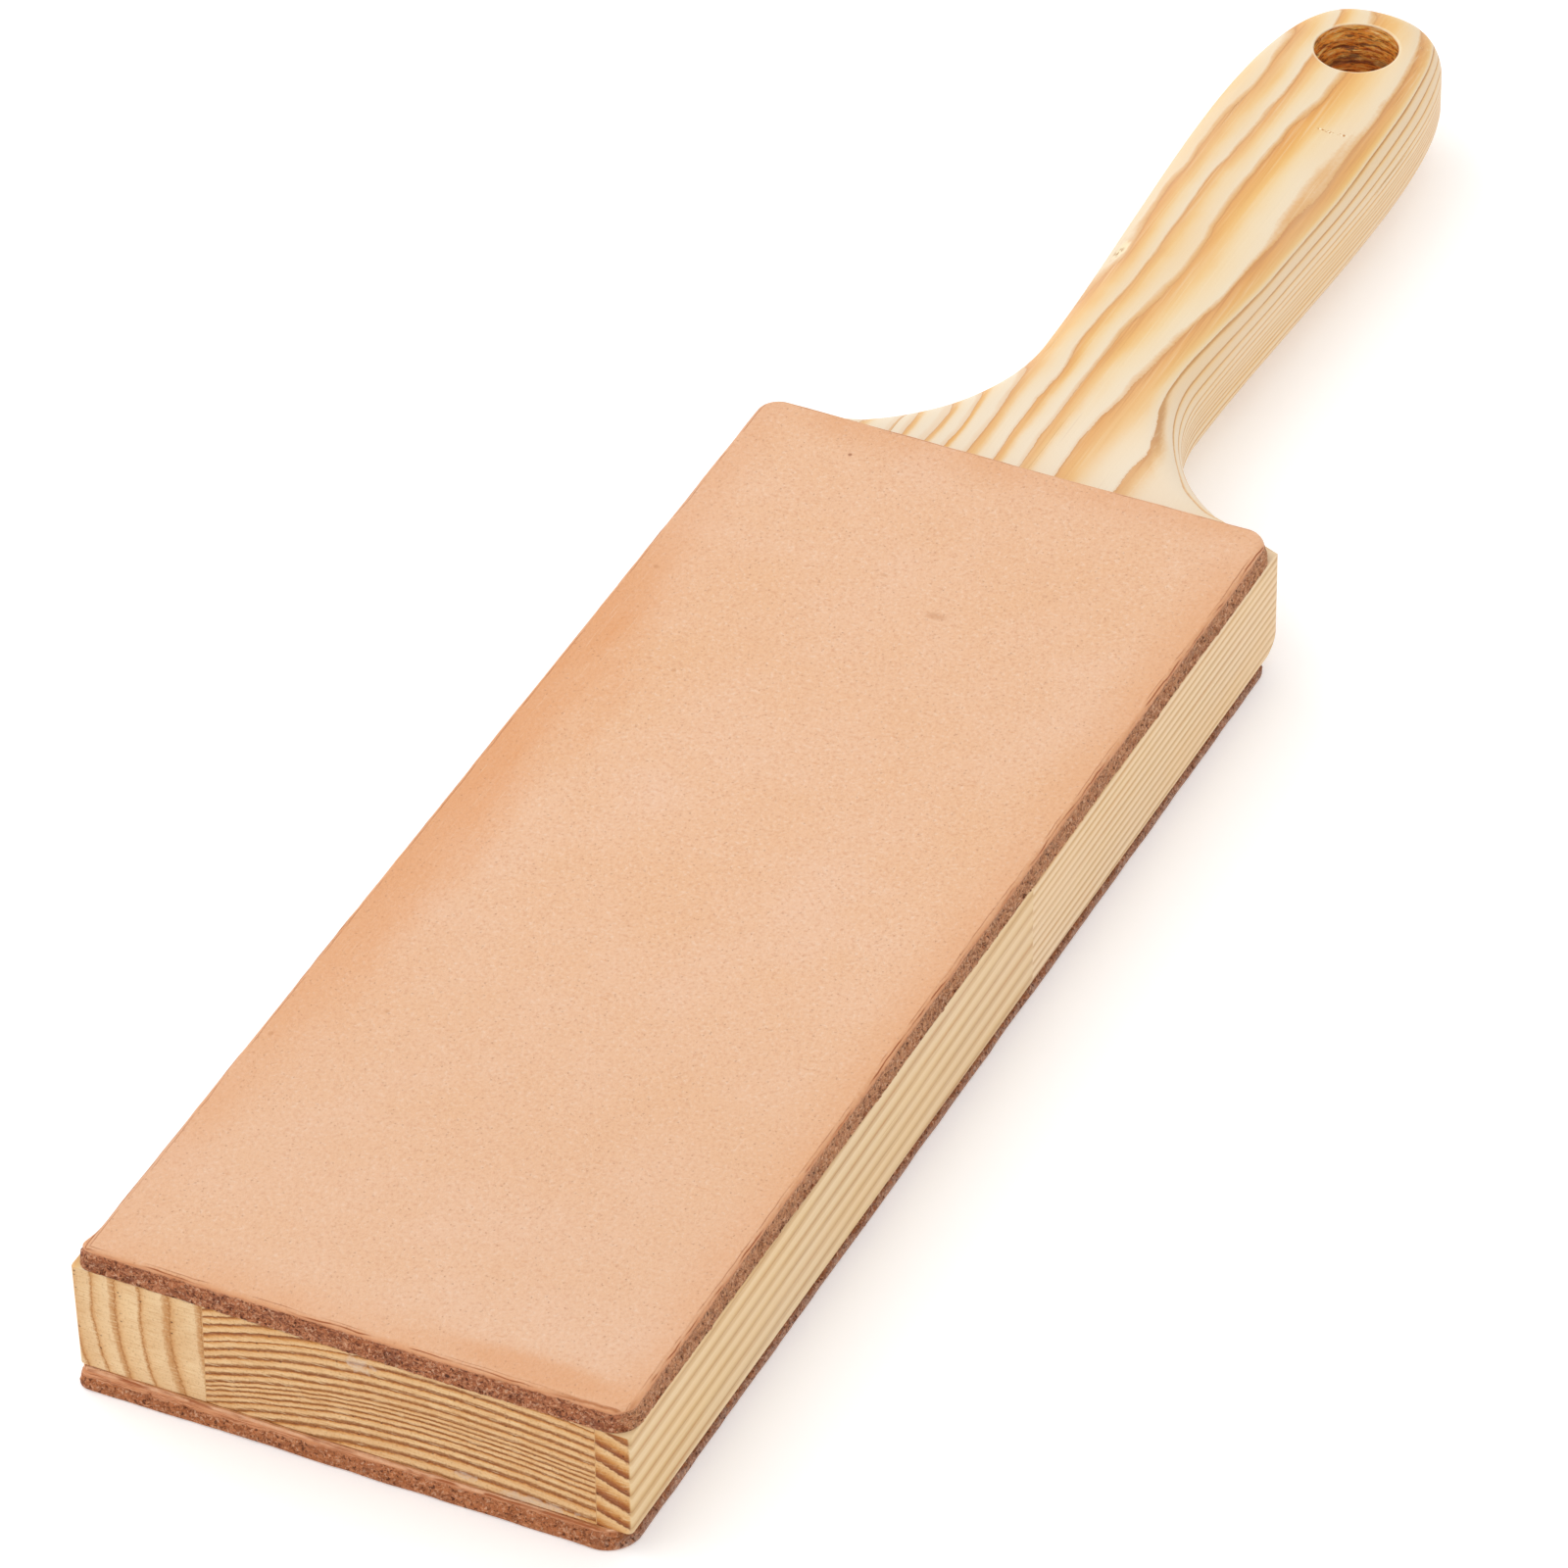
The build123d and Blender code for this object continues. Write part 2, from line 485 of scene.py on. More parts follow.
def inner_points():
    """The points inside the outline, closest on the handle and its torn patch."""
    reach = 30
    fine = grid((-reach, root_y + 6), (reach, wood_length), 1.3, 21)
    coarse = grid((board_left, 2), (board_right, root_y + 22), 5.0, 22)
    fine_gap, coarse_gap = (outline_path.measure(part)[0] for part in (fine, coarse))
    fine = fine[fine_gap > handle_rounding + 0.7]
    coarse = coarse[(coarse_gap > 1.5) & ((coarse[:, 1] < root_y + 2) | (coarse_gap > 6.5))]
    coarse = coarse[(coarse[:, 1] < root_y + 5) | (np.abs(coarse[:, 0]) > reach + 2)]
    spread = joined([edge_rings(), fine, coarse])
    spread = spread[(np.abs(spread - torn_patch) > (1.7, 3.5)).any(axis=1)]
    patch = grid(torn_patch - (1.6, 3.4), torn_patch + (1.6, 3.4), 0.3, 23)
    return joined([spread, patch])


plan_points = inner_points()


def stave(name, left, right, front=-1.0, back=wood_length + 1):
    """The part of the paddle between two x and two y positions."""
    loop = outline
    for cut in ((0, left, 1), (0, right, -1), (1, front, 1), (1, back, -1)):
        loop = clipped(loop, *cut)
    loops, rows, inner = [with_cut_points(loop)], [side_rows], plan_points
    if left < hole_centre[0] < right:
        rim, *rings = hole_points()
        loops.append(rim)
        rows.append(bore_rows)
        inner = joined([inner[from_hole(inner) > 0.9], *rings])
    clear = 0.12
    low, high = np.array([left, front]) + clear, np.array([right, back]) - clear
    inner = inner[((inner > low) & (inner < high)).all(axis=1)]
    return plate(name, loops, inner, *wood_faces.values(), rows, torn_bore, leaning_side)


# ---- Leather pads and the adhesive under them ----

fibres = Noise(19)


pad_ring_depths = (0.03, 0.09, 0.18, 0.3, 0.44, 0.54, 0.64, 0.8, 1.05, 1.5, 2.1, 2.8)
pad_rows = 15


def pad_loop(low, high, radii, seed, spacing=0.22, waver=0.1, lobe=0.0):
    """A pad's outline. radii are its near right, far right, far left and near left corners', and
    it stands out by lobe at the last one."""
    left, front = low[0], low[1] - front_y
    right, far = high[0], high[1] - front_y
    middle = (left + right) / 2
    chain = rounded_chain(
        [(middle, front), (right, front), (right, far), (left, far), (left, front),
         (middle, front)],
        radii,
    )
    loop = resampled(chain[:-1], spacing)
    beside = np.exp(-((loop[:, 1] - front) / 3.2) ** 2)
    beside *= 1 - rise(loop[:, 0], left, left + 9)
    loop[:, 0] -= lobe * beside
    cut = Noise(seed)
    shift = cut(loop, 14.0) * waver + cut(loop + 40, 2.2) * waver * 0.35 - waver
    return loop + closed_normals(loop) * shift[:, None]


def cut_edge(ring, normals, share, which):
    """Moves a cut leather edge in and out: firm at the grain, fibrous below it."""
    loose = rise(share, 0.1, 0.4)
    bundles = fibres(ring, (1.7, 1.7, 0.36)) * 0.14 + fibres(ring + 17, 0.6) * 0.16
    ends = fibres(ring + 29, 0.34) * 0.12 + fibres(ring + 53, (5.0, 5.0, 0.3)) * 0.06
    pits = np.maximum(fibres(ring + 71, (1.0, 1.0, 0.7)) - 0.25, 0) * 0.6
    shift = (bundles + ends - pits) * (0.1 + 0.9 * loose) - 0.03 + 0.08 * loose
    moved = ring + np.column_stack([normals, 0 * share]) * shift[:, None]
    moved[:, 2] += fibres(ring + 90, 0.4) * (0.05 + 0.08 * share) * loose
    return moved


def pad(name, node, radii, outer, flare, lobe, seed):
    """A leather pad. outer is its outer face, top or bottom, and flare is how far its slanting
    edge goes out from top to bottom."""
    low, high = box_mm(node)
    loop = pad_loop(low, high, radii, seed, lobe=lobe)
    normals = closed_normals(loop)
    path = Path(loop, closed=True)
    rings = []
    for depth in pad_ring_depths:
        ring = (loop - normals * depth)[::max(1, int(depth * 2.86))]  # sparser further in
        rings.append(ring[path.measure(ring)[0] > depth * 0.97])
    low_corner, high_corner = loop.min(0), loop.max(0)
    field = grid(low_corner, high_corner, 2.0, seed + 1)
    within = ((field > low_corner) & (field < high_corner)).all(axis=1)
    clear = pad_ring_depths[-1] + 0.6
    inner = joined([*rings, field[within & (path.measure(field)[0] > clear)]])
    hide = Noise(seed + 2)

    def face_drop(plan, soft):
        radius = soft * (1 + 0.25 * hide(plan, 5.0))
        distance = path.measure(plan)[0]
        swell = hide(plan, 32.0) * 0.05 + hide(plan + 70, 7.0) * 0.02
        crease = 1 - rise(np.abs(distance - crease_inset), 0.02, 0.13)
        crease = crease * rise(hide(plan + 110, 9.0), -0.5, 0.3) * 0.06
        return rounded_drop(distance, radius) + np.maximum(swell + 0.05, 0) + crease

    def top(plan):
        return high[2] - (face_drop(plan, 0.6) if outer == "top" else face_drop(plan, 0.2) * 0.5)

    def bottom(plan):
        if outer == "bottom":
            return low[2] + face_drop(plan, 0.5)
        hanging = 0.1 + 0.1 * fibres(np.column_stack([plan, 0 * plan[:, 0]]), 0.5)
        return low[2] - hanging * (path.measure(plan)[0] < 0.01)

    def slanted(vertices):
        distance, index = path.measure(vertices[:, :2])
        weight = 1 - rise(distance, 0.0, 2.6)
        up = (vertices[:, 2] - low[2]) / (high[2] - low[2])
        moved = vertices.copy()
        moved[:, :2] += normals[index] * ((0.35 - up) * flare * weight)[:, None]
        return moved

    return plate(name, [loop], inner, top, bottom, [pad_rows], cut_edge, slanted)


def film(name, node, squeezed, seed):
    """Cured adhesive, squeezed out unevenly, by an amount along the front."""
    low, high = box_mm(node)
    reach = np.array([0.35, squeezed, 0])
    far_reach = np.array([0.42, 0.0, 0])
    loop = pad_loop(low - reach, high + far_reach, [3.6, 1.5, 1.5, 2.4], seed, 0.35, 0.0)
    blobs = Noise(seed)
    shift = blobs(loop, 7.0) * 0.2 + blobs(loop + 30, 1.6) * 0.1
    loop = loop + closed_normals(loop) * shift[:, None]
    path = Path(loop, closed=True)
    normals = closed_normals(loop)
    field = grid(loop.min(0) + 2, loop.max(0) - 2, 8.0, seed + 1)
    inner = joined([(loop - normals * 0.3)[::2], (loop - normals * 0.9)[::3], field])

    def thick(plan):
        return 1 - rise(path.measure(plan)[0], 0.05, 0.7)

    def top(plan):
        proud = rise(-plan[:, 1], -0.25, 0.0)
        return high[2] + thick(plan) * 0.03 + proud * 0.12 - 0.01

    def bottom(plan):
        return low[2] - thick(plan) * 0.03 - 0.02

    return plate(name, [loop], inner, top, bottom, [2])


# ---- Materials ----

class Shader:
    """A material's node tree. Its methods add nodes and return an output."""

    def __init__(self, name, **constants):
        self.material = bpy.data.materials.new(name)
        self.material.use_nodes = True
        self.tree = self.material.node_tree
        self.surface = self.tree.nodes["Principled BSDF"]
        for socket, value in constants.items():
            self.surface.inputs[socket.replace("_", " ")].default_value = value
        where = self.add("TexCoord", "Object")
        self.place = self.scaled(where, (1 / MM,) * 3, (0, -front_y, 0))
        self.x, self.y, self.z = self.split(self.place)
        self.facing = self.split(self.add("TexCoord", "Normal"))

    def feed(self, socket, value):
        if isinstance(value, bpy.types.NodeSocket):
            self.tree.links.new(value, socket)
        else:
            socket.default_value = value

    def add(self, kind, output=0, inputs=None, **settings):
        node = self.tree.nodes.new("ShaderNode" + kind)
        for key, value in settings.items():
            setattr(node, key, value)
        for key, value in (inputs or {}).items():
            self.feed(node.inputs[key], value)
        return node.outputs[output]

    def scaled(self, vector, scale, shift=(0, 0, 0)):
        return self.add("VectorMath", inputs={0: vector, 1: scale, 2: shift},
                        operation="MULTIPLY_ADD")

    def length(self, vector):
        return self.add("VectorMath", "Value", {0: vector}, operation="LENGTH")

    def split(self, vector):
        node = self.add("SeparateXYZ", inputs={0: vector}).node
        return [node.outputs[axis] for axis in "XYZ"]

    def math(self, operation, *values):
        return self.add("Math", inputs=dict(enumerate(values)), operation=operation)

    def plus(self, *values):
        return functools.reduce(lambda a, b: self.math("ADD", a, b), values)

    def minus(self, a, b):
        return self.math("SUBTRACT", a, b)

    def times(self, *values):
        return functools.reduce(lambda a, b: self.math("MULTIPLY", a, b), values)

    def span(self, value, low, high, to_low=0.0, to_high=1.0, kind="SMOOTHSTEP"):
        """From to_low at low to to_high at high, and level beyond them."""
        inputs = {0: value, 1: low, 2: high, 3: to_low, 4: to_high}
        return self.add("MapRange", inputs=inputs, interpolation_type=kind)

    def line(self, *values):
        return self.span(*values, kind="LINEAR")

    def size(self, value):
        return self.math("ABSOLUTE", value)

    def mix(self, share, a, b):
        return self.add("Mix", 2, {0: share, 6: a, 7: b}, data_type="RGBA")

    def over(self, colour, *layers):
        """The colour under layers, each one a share and then its screen colour."""
        for share, *levels in layers:
            colour = self.mix(share, colour, tone(*levels))
        return colour

    def noise(self, size, low=0.0, high=1.0, detail=2.0, shift=0.0, coarse=0.5, swirl=0.0):
        """Noise from low to high. size is its grain, one number or one for each axis."""
        sizes = size if isinstance(size, tuple) else (size,) * 3
        place = self.scaled(self.place, tuple(1 / s for s in sizes), (shift,) * 3)
        level = self.add("TexNoise", inputs={
            "Vector": place, "Scale": 1.0, "Detail": detail, "Roughness": coarse,
            "Distortion": swirl})
        return self.line(level, 0.25, 0.75, low, high)

    def dots(self, sizes, radius, share):
        """Dots of 1 on 0, in a share of the cells, with a radius in parts of a cell."""
        place = self.scaled(self.place, tuple(1 / s for s in sizes))
        cells = self.add("TexVoronoi", "Distance", {"Vector": place, "Scale": 1.0}).node
        chosen = self.math("LESS_THAN", self.split(cells.outputs["Color"])[0], share)
        return self.times(self.span(cells.outputs["Distance"], radius, radius * 0.4), chosen)

    def ramp(self, value, stops):
        """The colour at a value between stops, the first of them at 0 and the last at 1."""
        node = self.add("ValToRGB", inputs={0: value}).node
        elements = node.color_ramp.elements
        elements[0].color, elements[1].color = stops[0][1], stops[-1][1]
        for at, colour in stops[1:-1]:
            elements.new(at).color = colour
        return node.outputs[0]

    def curve(self, value, points):
        """Straight runs from (0, 0) through points to (1, 1)."""
        node = self.add("FloatCurve", inputs={"Value": value}).node
        line = node.mapping.curves[0]
        for at, level in points:
            line.points.new(at, level)
        for point in line.points:
            point.handle_type = "VECTOR"
        node.mapping.update()
        return node.outputs[0]

    def spot(self, x, y, radius_x, radius_y):
        """From 0 to 1 over a soft oval patch of the plan."""
        away = self.scaled(self.place, (1 / radius_x, 1 / radius_y, 0),
                           (-x / radius_x, -y / radius_y, 0))
        return self.span(self.length(away), 1.0, 0.35)

    def finish(self, colour, roughness, height, depth):
        """Links the colour, the roughness and a bump of a depth in millimetres."""
        self.feed(self.surface.inputs["Base Color"], colour)
        self.feed(self.surface.inputs["Roughness"], roughness)
        bump = self.add("Bump", "Normal", {"Height": height, "Distance": depth * MM,
                                           "Strength": 1.0})
        self.feed(self.surface.inputs["Normal"], bump)
        return self.material


def stops(*entries):
    """Colour stops from (place, red, green, blue) entries."""
    return [(at, tone(*levels)) for at, *levels in entries]


broad_face = stops((0, 222, 164, 92), (0.04, 241, 225, 196), (0.2, 243, 221, 182),
                   (0.36, 243, 211, 156), (0.52, 241, 193, 117), (0.72, 236, 176, 93),
                   (0.92, 229, 160, 76), (1, 204, 134, 60))
side_face = stops((0, 206, 166, 114), (0.08, 236, 208, 164), (0.35, 231, 200, 151),
                  (0.6, 214, 176, 120), (0.85, 190, 144, 86), (1, 174, 125, 68))
rear_face = stops((0, 212, 172, 124), (0.08, 242, 216, 180), (0.35, 239, 210, 170),
                  (0.6, 224, 187, 138), (0.85, 200, 156, 102), (1, 184, 136, 82))
pale_end = stops((0, 200, 144, 88), (0.04, 241, 208, 162), (0.3, 238, 202, 153),
                 (0.62, 234, 193, 142), (0.84, 221, 171, 114), (0.95, 186, 126, 68),
                 (1, 168, 106, 52))
lined_end = stops((0, 136, 74, 24), (0.06, 240, 199, 146), (0.36, 237, 191, 135),
                  (0.58, 220, 158, 88), (0.78, 172, 98, 30), (0.92, 130, 60, 10),
                  (1, 112, 48, 6))
dark_end = stops((0, 154, 86, 30), (0.06, 240, 198, 144), (0.28, 232, 183, 122),
                 (0.5, 204, 138, 68), (0.76, 148, 70, 14), (1, 104, 36, 2))


def uneven_power(s, power, ring, deep, along, broadest):
    """Widens the late wood of the broadest ring and narrows that of the ones below."""
    wide = s.math("COMPARE", ring, broadest, 0.5)
    power = s.math("MULTIPLY_ADD", deep, 1.3, power)
    return s.plus(s.times(power, s.minus(1.0, wide)),
                  s.times(wide, s.span(s.y, 212, 245, 0.95, 0.65)),
                  s.times(deep, along, s.span(ring, 7, 10, -0.7, 1.0)),
                  s.times(s.span(s.x, -7, -13, 0, 1.2), s.span(s.y, 240, 216), along))


def thin_lines(s, face, early, ring, deep, along, broadest):
    """Thin dark lines along the handle's side, from the rings below the broadest."""
    first = s.math("COMPARE", ring, broadest - 1, 0.5)
    return s.over(
        face,
        (s.times(deep, along, 0.3), 232, 194, 154),
        (s.times(deep, s.span(ring, 7, 10, 0.65, 0.9), s.span(early, 0.5, 0.85),
                 s.span(s.y, 204, 222, 0.15, 1)), 182, 122, 66),
        (s.times(first, s.span(early, 0.3, 0.7), s.span(s.y, 208, 222), 0.75), 188, 128, 62),
    )


def long_face(s, face, early, dark, streaks):
    """Streaks, resin ducts, uneven tints and the root's fresher wood, over the rings."""
    fresh = s.times(s.span(s.y, 238, 204, 0, 0.6), s.span(early, 0.7, 0.3),
                    s.span(s.y, 186, 200), s.span(s.x, 30, 20))
    return s.over(
        face,
        (s.times(s.span(streaks, 0.45, 1, 0, 0.7), dark), 200, 128, 60),
        (s.span(streaks, 0.0, 0.45, 0.35, 0), 247, 226, 188),
        (s.times(s.dots((1.5, 60, 1.5), 0.09, 0.35), 0.4), 190, 130, 75),
        (s.noise((9, 34, 9), 0, 0.34), 240, 194, 124),
        (s.noise((11, 50, 11), 0, 0.22, shift=3.0), 244, 218, 198),
        (fresh, 245, 230, 208),
    )


def end_grain(s, early, end_stops, grit, pits):
    """Rays, grit, pits and glue over the rings of an end."""
    rays = s.noise((2.6, 30, 0.22))
    pale = s.span(early, 0.8, 0.45, 0.3, 1)
    end = s.over(
        s.ramp(early, end_stops),
        (s.times(s.span(rays, 0.5, 0.9, 0, 0.55), pale), 247, 218, 172),
        (s.span(rays, 0.45, 0.1, 0, 0.4), 196, 138, 80),
        (s.span(grit, 0.55, 1, 0, 0.4), 146, 90, 46),
        (s.times(s.span(grit, 0.0, 0.4, 0.35, 0), pale), 242, 204, 158),
        (s.noise((7, 30, 5), 0, 0.35), 194, 132, 68),
        (s.times(pits, 0.85), 92, 44, 14),
    )
    return dried_glue(s, end)


def pine(name, growth_of, face_stops, end_stops, broadest=None, late=1.4, face_late=0.0,
         contrast=1.0):
    """Pine. growth_of(s) rises by one at each growth ring. late narrows the dark late wood, and
    face_late does on the faces along the grain only. The ring numbered broadest is mostly late
    wood, and those below it are thin dark lines."""
    s = Shader(name, Specular_IOR_Level=0.25)
    across = s.span(s.size(s.facing[1]), 0.55, 0.95)
    ragged = s.noise(0.5, -0.05, 0.05, detail=3)
    growth = s.plus(growth_of(s), s.times(ragged, s.plus(across, 0.25)))
    phase, ring = s.math("FRACT", growth), s.math("FLOOR", growth)
    vary = s.add("TexWhiteNoise", "Value", {"W": ring}, noise_dimensions="1D")
    power = s.plus(s.line(vary, 0, 1, late * 0.75, late * 1.3),
                   s.span(across, 1, 0, 0, face_late))
    strength = s.times(s.noise((4, 60, 4), 0.75, 1.15), contrast)
    if broadest is None:
        early = s.math("POWER", phase, power)
        face = s.mix(strength, face_stops[1][1], s.ramp(early, face_stops))
    else:
        deep = s.math("LESS_THAN", ring, broadest - 0.5)
        along = s.span(across, 1, 0)
        power = uneven_power(s, power, ring, deep, along, broadest)
        early = s.math("MAXIMUM", s.math("POWER", phase, power),
                       s.times(deep, along, s.span(phase, 0, 0.08, 0, 0.05)))
        strength = s.times(strength, s.span(ring, 7, 10, 0.9, 1))
        face = s.mix(strength, face_stops[1][1], s.ramp(early, face_stops))
        face = thin_lines(s, face, early, ring, deep, along, broadest)
    dark = s.span(early, 0.55, 0.95)
    streaks = s.noise((0.35, 20, 0.35), detail=3)
    grit = s.noise(0.3, detail=3)
    pits = s.times(s.dots((1.0, 60, 0.7), 0.22, 0.5), s.span(early, 0.35, 0.8))
    colour = s.mix(across, long_face(s, face, early, dark, streaks),
                   end_grain(s, early, end_stops, grit, pits))
    if broadest is not None:
        colour = handle_marks(s, bore_colour(s, colour))
    height = s.plus(s.times(dark, 0.5), s.times(streaks, 0.35),
                    s.times(grit, s.span(across, 0, 1, 0.1, 0.7)), s.times(pits, -1.5))
    roughness = s.plus(s.noise(3, 0.5, 0.62), s.times(dark, -0.06))
    return s.finish(colour, roughness, height, 0.06)


# Each smear's middle, x and z, and its radii along them
glue_smears = [(1.2, wood_top - 1.5, 2.4, 1.3), (24.5, wood_bottom + 0.6, 6.0, 0.8),
               (15.5, wood_bottom + 1.3, 2.4, 0.6)]


def dried_glue(s, end):
    """Smears of wood glue on the front end."""
    for x, z, radius_x, radius_z in glue_smears:
        away = s.scaled(s.place, (1 / radius_x, 0, 1 / radius_z), (-x / radius_x, 0, -z / radius_z))
        smear = s.times(s.span(s.plus(s.length(away), s.noise(1.2, -0.5, 0.5)), 1.0, 0.5),
                        s.math("LESS_THAN", s.y, 1.0), s.noise((0.8, 1, 0.4), 0.2, 0.7))
        end = s.over(end, (smear, 216, 194, 174))
    return end


def bore_colour(s, colour):
    """Torn wood in the hanging hole in dark to bright orange tones, with a painted shadow band in
    its wall just above the step in it, and a painted highlight round its rim.
    """
    radius = s.length(s.scaled(s.place, (1, 1, 0), (*-hole_centre, 0)))
    inside = s.times(s.span(radius, hole_radius + 1.1, hole_radius + 0.9),
                     s.span(s.z, wood_top - 0.15, wood_top - 0.3))
    tatters = s.noise((2.4, 2.4, 0.42), detail=4, coarse=0.6, swirl=0.6)
    clumps = s.noise((2.8, 2.8, 0.6), detail=4, coarse=0.65, shift=5.0)
    # Painted shadow: a dark band in the bore's wall just above the step in it
    shade = s.times(s.span(s.z, wood_top - 5.0, wood_top - 6.4),
                    s.span(s.z, wood_top - 7.3, wood_top - 6.8), s.noise(2.0, 0.4, 0.9))
    bore_tones = s.over(
        s.ramp(tatters, stops((0, 92, 38, 4), (0.25, 186, 98, 22), (0.5, 250, 164, 56),
                              (0.75, 255, 210, 112), (1, 255, 234, 164))),
        (s.span(clumps, 0.56, 0.74, 0, 0.8), 92, 42, 12),
        (shade, 110, 58, 20),
        (s.span(clumps, 0.36, 0.22, 0, 0.6), 255, 222, 160),
    )
    # Painted highlight: a pale ring round the hole's top edge
    rim = s.times(s.span(radius, hole_radius + 0.5, hole_radius + 0.2), s.noise(1.4, 0.3, 0.8))
    return s.mix(s.times(inside, 0.95), s.over(colour, (rim, 250, 232, 198)), bore_tones)


def handle_marks(s, colour):
    """The handle's torn patch, with painted shade over part of it, and its dotted tool mark."""
    torn_x, torn_y = torn_patch
    ragged = s.noise((0.5, 1.6, 2), -0.5, 0.5, detail=3)
    patch = s.times(s.spot(torn_x, torn_y, 1.3, 3.6), s.span(s.z, wood_top - 3, wood_top - 2))
    lifted = s.span(s.plus(patch, ragged), 0.35, 0.6)
    # Painted shade: a darker oval set towards the front of the torn patch
    shade = s.times(s.spot(torn_x - 0.25, torn_y - 0.9, 0.8, 2.6),
                    s.span(s.noise((0.3, 1.4, 2), shift=9.0), 0.5, 0.7))
    mark = s.size(s.plus(s.y, -tool_mark_y, s.noise(1.5, -0.25, 0.25)))
    mark = s.times(s.span(mark, 0.34, 0.1), s.span(s.x, 3.3, 4.2), s.span(s.x, 8.8, 7.6),
                   s.span(s.z, 17.5, 18.5))
    dotted = s.noise((0.35, 0.6, 1), detail=1)
    return s.over(
        colour,
        (s.times(lifted, patch, 0.9), 250, 234, 196),
        (s.times(shade, 0.8), 176, 112, 52),
        (s.times(mark, s.span(dotted, 0.55, 0.75)), 196, 132, 66),
        (s.times(mark, s.span(dotted, 0.4, 0.25)), 252, 238, 206),
    )


def centre_growth(s):
    """Rings lying flat, in an arch that levels out towards the handle's right side."""
    spread = s.span(s.y, 265, 302, 1, 0.91)
    x = s.plus(s.times(s.plus(s.x, 9), spread), -9)
    sway = s.times(s.math("SINE", s.times(s.plus(s.y, -238), math.tau / 50)),
                   s.span(s.y, 205, 245, 0, -0.4))
    calm = s.span(s.spot(12.5, 208, 9, 20), 0, 1, 1, 0.2)
    x = s.plus(x, sway, s.times(calm, s.plus(s.noise((9, 15, 9), -0.45, 0.45),
                                             s.noise((2.5, 7, 2.5), -0.2, 0.2))))
    off = s.minus(x, s.line(s.y, 0, 200, 12.5, 22.6))
    bow = s.line(s.math("LESS_THAN", off, 0), 0, 1, 1 / 400, 1 / 180)
    arch = s.times(off, off, bow)
    aside = s.math("MAXIMUM", s.minus(12, x), 0.0)
    level_arch = s.math("MULTIPLY_ADD", s.math("POWER", aside, 1.72), 0.0205, 1.72)
    below_edge = s.times(s.line(s.z, wood_top, wood_top - 1.3),
                         s.span(s.y, 200, 206), s.span(s.x, 8, 11.5), s.span(s.x, 22, 14))
    in_handle = s.math("MAXIMUM", s.span(s.y, 200, 252), below_edge)
    arch = s.plus(s.times(arch, s.minus(1, in_handle)), s.times(level_arch, in_handle),
                  s.times(s.span(s.x, 8.5, 12, 0, 0.62), s.span(s.y, 222, 255),
                          s.span(s.y, 272, 296, 1, 0.5)))
    waver = s.plus(s.noise((9, 60, 6), -0.13, 0.13), s.noise((3, 30, 3), -0.06, 0.06))

    # The rings stand steeper to the handle's left and at its tip
    tipward = s.times(s.span(s.y, 298, 312), s.span(s.x, 13, 8))
    steeper = s.times(s.math("MAXIMUM", s.span(s.x, 8, -4), tipward), s.span(s.y, 150, 200))
    flatness = s.plus(s.line(steeper, 0, 1, 1, 0.3),
                      s.times(in_handle, s.span(s.x, 6, 10, 0, 0.19)))
    level = s.plus(s.times(s.plus(s.z, -wood_top), flatness), wood_top - wood_bottom)
    depth = s.plus(level, arch, s.times(waver, calm))
    deepest, most_rings = 25.0, 20.0
    grown = [(3.55, 2), (6.15, 4), (7.95, 6), (9.4, 8), (11.9, 10), (14.8, 12), (18.75, 15),
             (23.5, 19)]
    points = [(at / deepest, rings / most_rings) for at, rings in grown]
    return s.times(s.curve(s.math("DIVIDE", depth, deepest), points), most_rings)


def left_growth(s):
    """Rings standing nearly upright, closer to the left, curling right at the bottom."""
    low = s.math("MAXIMUM", s.minus(12 + wood_bottom, s.z), 0.0)
    across = s.plus(s.x, 35.75, s.times(low, low, -1 / 72), s.noise((10, 90, 10), -0.25, 0.25),
                    s.noise((3, 30, 3), -0.06, 0.06))
    inner = s.math("MAXIMUM", s.plus(s.times(across, 0.88), 8.585), 0.01)
    return s.plus(s.times(s.math("SQRT", inner), -1 / 0.44), 26.66)


def right_front_growth(s):
    """Broad rings that slope down to the right and rise slowly towards the handle."""
    fall = s.plus(s.z, -wood_bottom, s.times(s.plus(s.x, -33.35), 0.37), s.times(s.y, -0.022),
                  s.noise((8, 70, 8), -0.2, 0.2))
    return s.plus(s.times(fall, -1 / 2.7), 14.95)


def right_rear_growth(s):
    """Close, almost level rings."""
    fall = s.plus(s.z, s.times(s.y, -0.012), s.times(s.x, 0.2), s.noise((8, 90, 8), -0.12, 0.12))
    return s.times(fall, 1 / 1.38)


def glue_material(name, colour, dark):
    s = Shader(name, Specular_IOR_Level=0.4)
    vary = s.noise((1.5, 6, 1.5), detail=3)
    mixed = s.mix(vary, tone(*colour), tone(*dark))
    return s.finish(mixed, s.noise(0.8, 0.35, 0.6), s.noise(0.4), 0.03)


stain, tan = (196, 132, 84), (226, 158, 104)
# Each mark's middle, radii, strength and colour
leather_marks = [
    (-20.9, 188.3, 0.4, 0.45, 0.8, (160, 96, 58)), (4.5, 160.7, 2.0, 1.0, 0.4, stain),
    (-5.5, 166.0, 0.7, 0.5, 0.35, stain), (-21.7, 135.7, 0.5, 0.5, 0.45, stain),
    (-33.6, 155.0, 0.7, 0.5, 0.4, stain), (-34.9, 47.0, 0.5, 0.7, 0.4, stain),
    (-23.6, 57.0, 0.5, 0.5, 0.35, stain), (24.0, 3.5, 17.0, 3.6, 0.5, tan),
]


